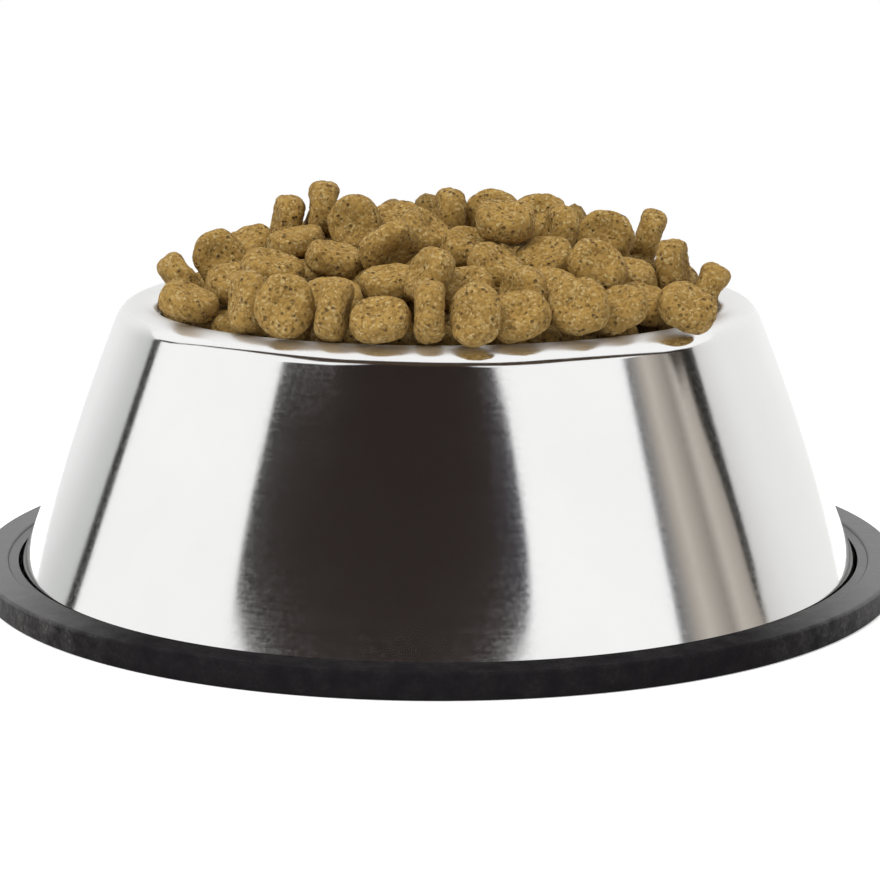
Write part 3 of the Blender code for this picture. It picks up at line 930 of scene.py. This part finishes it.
class PETBOWL_OT_kibble_bed(bpy.types.Operator):
    """Fill the bowl with packed kibble whose uppermost pieces stand out one by one"""

    bl_idname = "petbowl.kibble_bed"
    bl_label = "Kibble Bed"

    def execute(self, context):
        """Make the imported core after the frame's fill, then lay rows of kibble on it."""
        bowl = context.scene.petbowl_bowl
        settings = context.scene.petbowl_kibble
        chance = random.Random(SEED)
        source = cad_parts["kibble_fill"]
        points = [point.co for point in source.data.vertices]
        surface = BVHTree.FromPolygons(points, [list(face.vertices) for face in source.data.polygons])
        core = self.core(bowl, settings, surface)
        # Painted shade: the core and the bed are coloured darker than the loose kibble, standing in for the
        # heap's shadow
        core.data.materials.append(kibble_material("kibble_core_painted_shade", settings, CORE_PAINTED_SHADE))
        model = model_kibble(settings, BED_SIDES, BED_STEPS)
        model.data.materials.append(kibble_material("kibble_bed", settings, BED_PAINTED_SHADE))
        loose = [disc_of(name)[0] for name in LOOSE_NODES]
        pieces = [core]
        rim_row = rim_places(loose, chance)
        for place in rim_row + bed_places(surface, loose, chance):
            lean = chance.uniform(0.0, RIM_ROW_LEAN if place in rim_row else BED_LEAN)
            sideways = level(chance.uniform(0.0, 2.0 * math.pi))
            axis = Vector((0.0, 0.0, math.cos(lean))) + sideways * math.sin(lean)
            groove = Vector((-sideways.y, sideways.x, 0.0))
            size = [chance.uniform(*BED_SCALES) for _ in range(3)]
            turn = kibble_turn(axis, groove, chance.uniform(0.0, math.pi))
            piece = copy_of(model, "bed_kibble", place, turn, size)
            tuck_in(piece, bowl, RIM_ROW_SPARE if place in rim_row else 0.0)
            pieces.append(piece)
        bpy.data.objects.remove(model)
        deselect_all()
        for piece in pieces:
            piece.select_set(True)
        bpy.context.view_layer.objects.active = core
        bpy.ops.object.join()
        crumble(core, BED_LUMPS, BED_GRAIN)
        keep_inside(core, bowl)
        smooth(core, math.pi)
        finish_piece(core, "kibble", "kibble_fill")
        return {"FINISHED"}

    def core(self, bowl, settings, surface):
        """Closed body inside the bowl, just under the frame's fill."""
        wall = inner_profile(bowl, GAP)
        rim = wall[0]
        top = [(rim[0] * (1.0 - step / CORE_RINGS), rim[1]) for step in range(1, CORE_RINGS)]
        core = turned("kibble_bed", list(reversed(wall)) + top, CORE_SEGMENTS)
        close_middle()
        for point in core.data.vertices:
            if point.co.z > rim[1] - MERGE_DISTANCE and point.co.xy.length < rim[0] - MERGE_DISTANCE:
                lowest = lowest_around(surface, point.co.copy(), settings.radius)
                point.co.z = max(rim[1], lowest - BED_SINK)
        only(core)
        bpy.ops.object.mode_set(mode="EDIT")
        bpy.ops.mesh.select_all(action="SELECT")
        bpy.ops.mesh.delete_loose()
        bpy.ops.mesh.select_all(action="DESELECT")
        bpy.ops.mesh.select_non_manifold()
        bpy.ops.mesh.fill()
        face_outward()
        return core


def card_material(name, stops):
    """Card that shines with colours given at shares of its width, read from its UV map."""
    made = bpy.data.materials.new(name)
    made.use_nodes = True
    tree = made.node_tree
    tree.nodes.clear()
    along = part_of(tree, node(tree, "ShaderNodeTexCoord").outputs["UV"], "X")
    ramp = node(tree, "ShaderNodeValToRGB")
    elements = ramp.color_ramp.elements
    while len(elements) < len(stops):
        elements.new(0.5)
    while len(elements) > len(stops):
        elements.remove(elements[-1])
    for element, (share, colour) in zip(elements, stops):
        element.position = share
        element.color = (*colour, 1.0)
    link(tree, along, ramp.inputs["Fac"])
    shine = node(tree, "ShaderNodeEmission")
    link(tree, ramp.outputs["Color"], shine.inputs["Color"])
    link(tree, shine.outputs["Emission"], node(tree, "ShaderNodeOutputMaterial").inputs["Surface"])
    return made


def on_cylinder(azimuth, height, distance):
    """Point on the cylinder of cards, at an azimuth in degrees from the front to the right."""
    angle = math.radians(azimuth)
    return distance * math.sin(angle), -distance * math.cos(angle), height


def add_card(name, rungs, stops, distance=CARD_DISTANCE):
    """Bent card between rungs of azimuth, height, azimuth, height; seen only in reflections."""
    builder = bmesh.new()
    layer = builder.loops.layers.uv.new("UVMap")
    rows = []
    for number, (low_azimuth, low, high_azimuth, high) in enumerate(rungs):
        ends = ((low_azimuth, low), (high_azimuth, high))
        pair = [builder.verts.new(on_cylinder(azimuth, height, distance)) for azimuth, height in ends]
        rows.append((number / (len(rungs) - 1.0), pair))
    for (share, pair), (next_share, next_pair) in zip(rows, rows[1:]):
        face = builder.faces.new((pair[0], next_pair[0], next_pair[1], pair[1]))
        shares = (share, next_share, next_share, share)
        for loop, across, up in zip(face.loops, shares, (0.0, 0.0, 1.0, 1.0)):
            loop[layer].uv = (across, up)
    mesh = bpy.data.meshes.new(name)
    builder.to_mesh(mesh)
    builder.free()
    card = new_object(name, mesh)
    mesh.materials.append(card_material(name, stops))
    card.visible_camera = False
    card.visible_diffuse = False
    card.visible_shadow = False
    card.visible_transmission = False
    card.visible_volume_scatter = False


def bar_rungs(line, half_width):
    """Rungs of an upright bar whose middle runs through points of height and azimuth."""
    return [(azimuth - half_width, height, azimuth + half_width, height) for height, azimuth in line]


def beam_rungs(line):
    """Rungs of a lying beam through points of azimuth, elevation and half its thickness, in degrees."""
    return [
        (
            azimuth, CARD_DISTANCE * math.tan(math.radians(elevation - half)),
            azimuth, CARD_DISTANCE * math.tan(math.radians(elevation + half)),
        )
        for azimuth, elevation, half in line
    ]


# The mirrored studio, as rungs of azimuth (degrees), height (metres), azimuth, height
DARK_PANEL = (
    (-57.6, 0.430, -56.8, 0.500), (-57.0, 0.390, -56.0, 0.535), (-55.8, 0.372, -54.2, 0.560),
    (-50.0, 0.360, -48.5, 0.585), (-40.0, 0.356, -38.0, 0.620), (-31.0, 0.356, -30.0, 0.800),
    (-24.0, 0.356, -24.0, 1.000), (-10.0, 0.358, -10.0, 1.100), (0.0, 0.362, 0.0, 1.100),
    (10.0, 0.392, 8.5, 0.900), (17.0, 0.418, 15.0, 0.700), (22.5, 0.436, 20.4, 0.620),
    (25.2, 0.455, 23.4, 0.580), (25.9, 0.490, 24.9, 0.540),
)
GREY_WALL = (
    (53.0, -0.30, 68.0, 0.50), (64.0, -0.30, 76.5, 0.52), (75.0, -0.30, 86.5, 0.50),
    (88.0, -0.30, 97.0, 0.42),
)
LEFT_WALL = (
    (-175.0, -0.60, -175.0, 0.60), (-150.0, -0.60, -150.0, 0.55), (-130.0, -0.60, -132.0, 0.46),
    (-102.0, -0.20, -117.0, 0.34),
)
RIGHT_WALL = (
    (84.0, -0.30, 97.0, 0.42), (115.0, -0.40, 115.0, 0.46), (140.0, -0.60, 140.0, 0.60),
    (175.0, -0.60, 175.0, 0.60),
)

# Upright bars: middle as height and azimuth, and half the width in degrees; then the middle of the beam
# that joins them over the top, as azimuth, elevation and half its thickness in degrees
LEFT_BAR_HALF = 2.5
RIGHT_BAR_HALF = 3.9
LEFT_BAR = ((-0.20, -100.4), (0.10, -109.1), (0.22, -112.6), (0.34, -115.6))
RIGHT_BAR = (
    (-0.30, 78.0), (0.10, 84.0), (0.19, 87.6), (0.21, 90.2), (0.225, 92.6), (0.25, 94.2),
    (0.33, 95.4), (0.42, 96.6),
)
TOP_BEAM = (
    (-117.0, 20.5, 2.0), (-109.0, 26.5, 2.5), (-102.0, 39.0, 3.0), (-90.0, 48.4, 3.5), (-70.0, 51.8, 4.0),
    (-47.0, 49.9, 7.0), (-26.0, 52.0, 7.5), (0.0, 50.0, 7.5), (25.0, 45.7, 6.5), (37.0, 45.3, 6.5),
    (51.0, 46.0, 6.0), (67.0, 42.2, 6.0), (80.0, 33.8, 5.0), (88.0, 25.5, 3.5), (97.0, 23.5, 2.5),
)


def add_cards():
    """Dark panel, pale walls, and the bars and the beam that the steel mirrors."""
    brown = (0.026, 0.019, 0.017)
    smoke = (0.052, 0.052, 0.050)
    slate = (0.052, 0.052, 0.066)
    add_card("dark_panel", DARK_PANEL, ((0.0, smoke), (0.30, brown), (0.75, brown), (1.0, slate)))
    ash = (0.14, 0.135, 0.14)
    taupe = (0.40, 0.36, 0.32)
    pale = (0.54, 0.50, 0.45)
    umber = (0.27, 0.245, 0.22)
    silver = (0.60, 0.60, 0.62)
    iron = (0.24, 0.23, 0.22)
    streaks = (
        (0.0, silver), (0.05, ash), (0.15, iron), (0.26, taupe), (0.36, pale),
        (0.50, taupe), (0.62, umber), (0.72, pale), (0.88, taupe), (1.0, umber),
    )
    add_card("grey_wall", GREY_WALL, streaks)
    shades = ((0.0, (0.92, 0.92, 0.92)), (0.5, (0.88, 0.88, 0.88)), (1.0, (0.58, 0.59, 0.58)))
    add_card("left_wall", LEFT_WALL, shades)
    shades = ((0.0, (0.64, 0.63, 0.62)), (0.3, (0.86, 0.86, 0.85)), (1.0, (0.97, 0.97, 0.97)))
    add_card("right_wall", RIGHT_WALL, shades)
    soot = (0.020, 0.018, 0.016)
    add_card("left_bar", bar_rungs(LEFT_BAR, LEFT_BAR_HALF), ((0.0, soot), (1.0, soot)), BAR_DISTANCE)
    add_card("right_bar", bar_rungs(RIGHT_BAR, RIGHT_BAR_HALF), ((0.0, soot), (1.0, soot)), BAR_DISTANCE)
    brass = (0.060, 0.043, 0.030)
    shades = ((0.0, soot), (0.2, brass), (0.8, brass), (1.0, soot))
    add_card("top_beam", beam_rungs(TOP_BEAM), shades, BAR_DISTANCE)


def floor_material():
    """White floor that shows white to the camera and the steel, with the object's soft shadow."""
    made, tree, shader, place = start_material("white_floor")
    tones = mask(tree, grain_group(), place, 0.02, 0.30, 0.70)
    shade = mix_colours(tree, tones, (0.93, 0.93, 0.93), (0.95, 0.95, 0.95))
    link(tree, shade, shader.inputs["Base Color"])
    shader.inputs["Roughness"].default_value = 0.9
    shader.inputs["Specular IOR Level"].default_value = 0.0
    shader.inputs["Emission Color"].default_value = (1.0, 1.0, 1.0, 1.0)
    seen = seen_by(tree, "Is Camera Ray", "Is Glossy Ray")
    link(tree, calculate(tree, "MULTIPLY", seen, 0.35), shader.inputs["Emission Strength"])
    return made


def add_world(ambient):
    """White surroundings: full white to the camera, glossy and clear surfaces, plain light elsewhere."""
    world = bpy.data.worlds.new("studio")
    bpy.context.scene.world = world
    world.use_nodes = True
    tree = world.node_tree
    shine = tree.nodes["Background"]
    shine.inputs["Color"].default_value = (1.0, 1.0, 1.0, 1.0)
    seen = seen_by(tree, "Is Camera Ray", "Is Glossy Ray", "Is Transmission Ray")
    link(tree, calculate(tree, "MAXIMUM", seen, ambient), shine.inputs["Strength"])


def add_lamp(name, place, power, size):
    """Large soft lamp that looks at the heap and isn't mirrored in the steel."""
    data = bpy.data.lights.new(name, "AREA")
    data.energy = power
    data.shape = "DISK"
    data.size = size
    lamp = new_object(name, data)
    lamp.location = place
    aim = Vector((0.0, 0.0, BOWL_TOP)) - Vector(place)
    lamp.rotation_euler = aim.to_track_quat("-Z", "Y").to_euler()
    lamp.visible_glossy = False
    lamp.visible_camera = False


class PETBOWL_OT_stage(bpy.types.Operator):
    """Set up the white floor, the soft light, the mirrored studio and the camera"""

    bl_idname = "petbowl.stage"
    bl_label = "Stage"

    def execute(self, context):
        """Make the floor, the world, the lamps, the cards and the camera."""
        settings = context.scene.petbowl_stage
        deselect_all()
        bpy.ops.mesh.primitive_circle_add(
            vertices=FLOOR_SEGMENTS, radius=settings.floor_radius, fill_type="NGON", location=(0.0, 0.0, 0.0)
        )
        floor = bpy.context.object
        floor.name = "floor"
        floor.data.materials.append(floor_material())
        add_world(settings.ambient)
        add_lamp("key_lamp", KEY_LAMP_PLACE, settings.key_power, KEY_LAMP_WIDTH)
        add_lamp("top_lamp", TOP_LAMP_PLACE, settings.fill_power, TOP_LAMP_WIDTH)
        add_cards()
        data = bpy.data.cameras.new("camera")
        data.lens = CAMERA_LENS
        data.sensor_width = CAMERA_SENSOR
        data.shift_x = CAMERA_SHIFT
        camera = new_object("camera", data)
        camera.location = CAMERA_PLACE
        camera.rotation_euler = (CAMERA_TILT, 0.0, 0.0)
        context.scene.camera = camera
        context.scene.view_settings.view_transform = "Standard"
        return {"FINISHED"}


class PETBOWL_PT_sidebar(bpy.types.Panel):
    """Lists the pieces and their settings"""

    bl_idname = "PETBOWL_PT_sidebar"
    bl_label = "Pet Bowl"
    bl_space_type = "VIEW_3D"
    bl_region_type = "UI"
    bl_category = "Pet Bowl"

    def draw(self, context):
        """Show each operator above the settings that it reads."""
        scene = context.scene
        groups = (
            (scene.petbowl_bowl, (PETBOWL_OT_steel_bowl,)),
            (scene.petbowl_ring, (PETBOWL_OT_rubber_ring,)),
            (scene.petbowl_kibble, (PETBOWL_OT_loose_kibble, PETBOWL_OT_kibble_bed)),
            (scene.petbowl_stage, (PETBOWL_OT_stage,)),
        )
        for settings, operators in groups:
            box = self.layout.box()
            for operator in operators:
                box.operator(operator.bl_idname)
            for name in settings.__annotations__:
                box.prop(settings, name)


SETTINGS = (
    ("petbowl_bowl", BowlSettings),
    ("petbowl_ring", RingSettings),
    ("petbowl_kibble", KibbleSettings),
    ("petbowl_stage", StageSettings),
)
OPERATORS = (
    PETBOWL_OT_steel_bowl,
    PETBOWL_OT_rubber_ring,
    PETBOWL_OT_loose_kibble,
    PETBOWL_OT_kibble_bed,
    PETBOWL_OT_stage,
)


def register():
    """Register the classes and hang the settings on the scene."""
    for name, group in SETTINGS:
        bpy.utils.register_class(group)
        setattr(bpy.types.Scene, name, bpy.props.PointerProperty(type=group))
    for operator in OPERATORS:
        bpy.utils.register_class(operator)
    bpy.utils.register_class(PETBOWL_PT_sidebar)


def unregister():
    """Take the classes and the settings away again."""
    bpy.utils.unregister_class(PETBOWL_PT_sidebar)
    for operator in reversed(OPERATORS):
        bpy.utils.unregister_class(operator)
    for name, group in reversed(SETTINGS):
        delattr(bpy.types.Scene, name)
        bpy.utils.unregister_class(group)


def main():
    """Build every piece and the stage."""
    register()
    bpy.ops.petbowl.steel_bowl()
    bpy.ops.petbowl.rubber_ring()
    bpy.ops.petbowl.loose_kibble()
    bpy.ops.petbowl.kibble_bed()
    bpy.ops.petbowl.stage()


if __name__ == "__main__":
    main()
